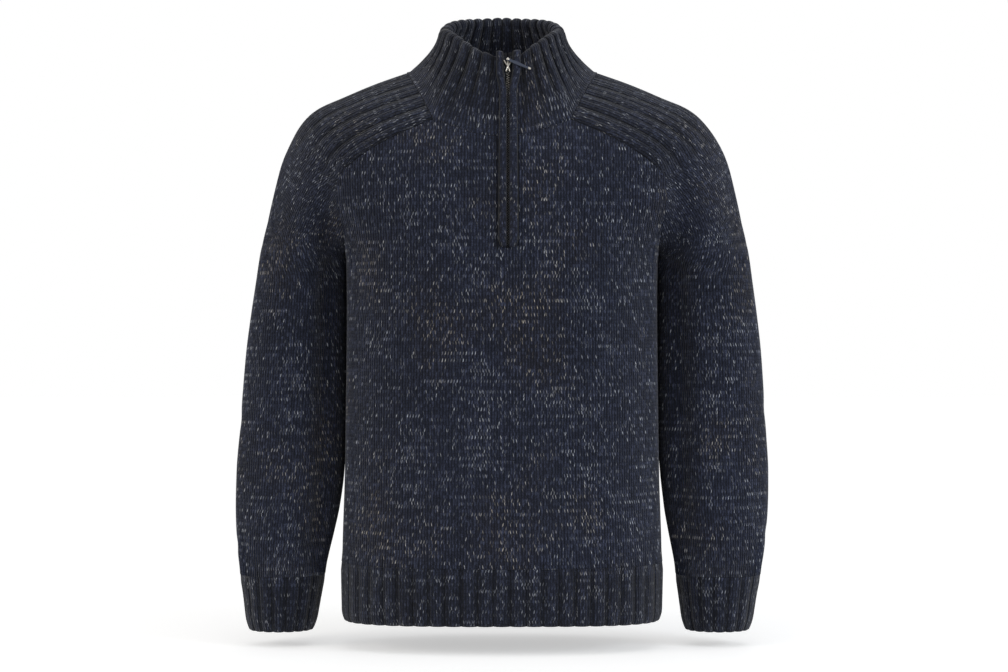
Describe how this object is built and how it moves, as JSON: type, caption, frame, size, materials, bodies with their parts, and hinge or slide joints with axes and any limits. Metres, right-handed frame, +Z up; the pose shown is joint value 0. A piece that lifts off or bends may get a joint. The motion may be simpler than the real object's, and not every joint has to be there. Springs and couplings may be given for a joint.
{
  "type": "half-zip knitted sweater",
  "caption": "Chunky knitted half-zip sweater, filled out and open at the neck, hem and cuffs, with saddle shoulders, a ribbed stand collar, ribbed hem and cuffs and a short zip with a pull tab.",
  "frame": {"origin": "middle of the neck at the height of the shoulder points, where the garment hangs on its wearer or a hanger", "axes": "+X to the viewer's right, front faces -Y, +Z up from hem to collar"},
  "size_m": [0.6665, 0.2486, 0.7674],
  "materials": {
    "plain_knit": "matt, flecked, chunky plain knit in marled navy yarn",
    "rib_knit": "matt, ribbed knit in the same yarn",
    "binding_knit": "matt, knitted tube with cross courses",
    "zip_tape": "matt woven tape",
    "zip_metal": "pale bright metal, satin",
    "pull_paint": "navy, half gloss, bright at the tip"
  },
  "bodies": {
    "garment": {"front": "plain_knit", "back": "plain_knit", "sleeve_left": "plain_knit", "sleeve_right": "plain_knit", "collar": "rib_knit", "hem_front": "rib_knit", "hem_back": "rib_knit", "cuff_left": "rib_knit", "cuff_right": "rib_knit", "binding_left": "binding_knit", "binding_right": "binding_knit", "zip_tape_left": "zip_tape", "zip_tape_right": "zip_tape", "zip_chain": "zip_metal", "zip_slider": "zip_metal"},
    "pull_tab": {"zip_pull": "pull_paint"}
  },
  "joints": [
    {"name": "pull_tab_swing", "type": "hinge", "parent": "garment", "child": "pull_tab", "pos_m": [0.0072, -0.08907, 0.00647], "axis": [0, 0.9708, -0.2397], "range_deg": [-30, 66]}
  ]
}
